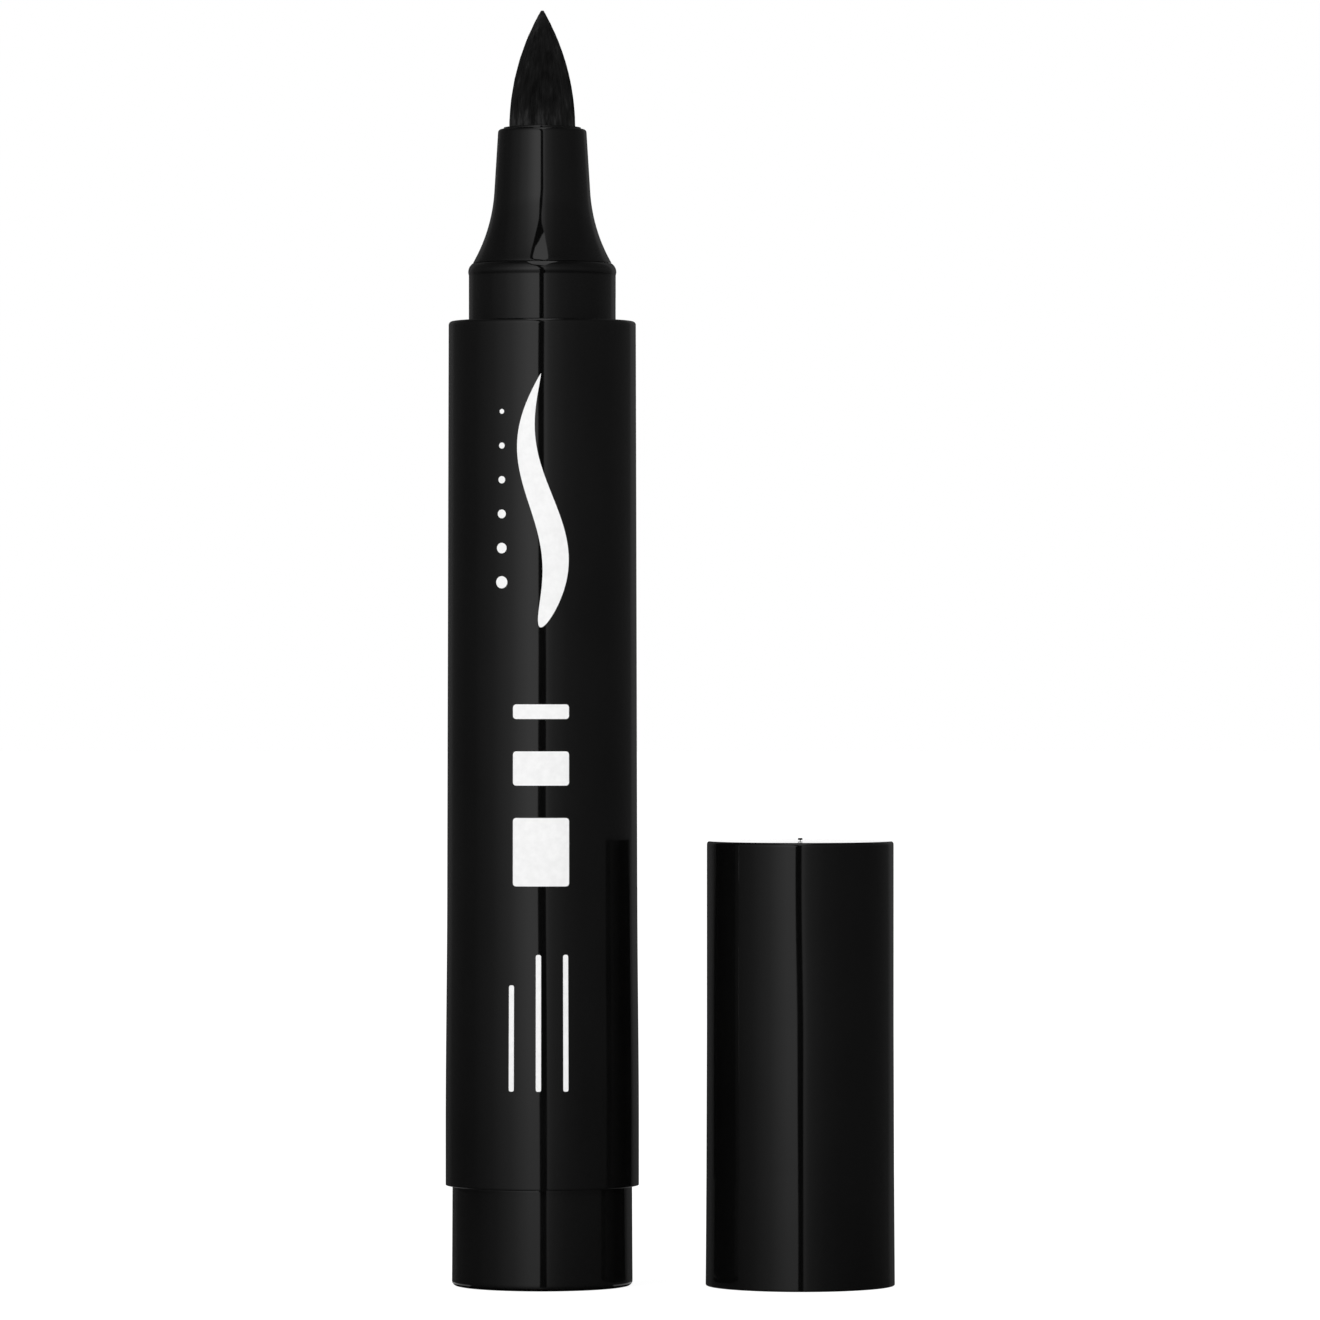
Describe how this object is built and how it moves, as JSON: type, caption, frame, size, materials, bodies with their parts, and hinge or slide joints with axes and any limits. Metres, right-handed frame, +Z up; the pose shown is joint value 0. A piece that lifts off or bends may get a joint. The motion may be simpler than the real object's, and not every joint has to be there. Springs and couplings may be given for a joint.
{
  "type": "liquid eyeliner pen",
  "caption": "Jumbo liquid eyeliner pen with a brush tip, a fibre ink reservoir and a clicked-on cap, which stands beside it mouth down.",
  "frame": {"origin": "centre of the flat end of the pen's tail plug, on the surface that the pen stands on", "axes": "+Z up along the pen's axis towards the brush, +X towards the cap that stands beside it"},
  "size_m": [0.0372, 0.016, 0.1055],
  "materials": {
    "barrel_plastic": "moulded, high gloss black",
    "collar_plastic": "moulded, high gloss black",
    "nozzle_plastic": "moulded, high gloss black",
    "brush_fibre": "fine synthetic bristles, wet with black ink",
    "retainer_plastic": "natural moulded plastic",
    "wick_fibre": "bonded fibre rod, inked",
    "reservoir_fibre": "bonded fibre rod, inked",
    "film": "thin clear film",
    "tail_plastic": "moulded, high gloss black",
    "cap_plastic": "moulded, high gloss black",
    "inner_cap_plastic": "natural soft plastic"
  },
  "bodies": {
    "pen": {"barrel": "barrel_plastic", "collar_ring": "collar_plastic", "nozzle": "nozzle_plastic", "brush_tip": "brush_fibre", "brush_retainer": "retainer_plastic", "feed_wick": "wick_fibre", "reservoir_core": "reservoir_fibre", "reservoir_film": "film", "tail_plug": "tail_plastic"},
    "cap": {"cap_shell": "cap_plastic", "inner_cap": "inner_cap_plastic"}
  },
  "joints": [
    {"name": "cap_lift", "type": "slide", "parent": "pen", "child": "cap", "axis": [0, 0, 1], "range_m": [0, 0.11]}
  ]
}
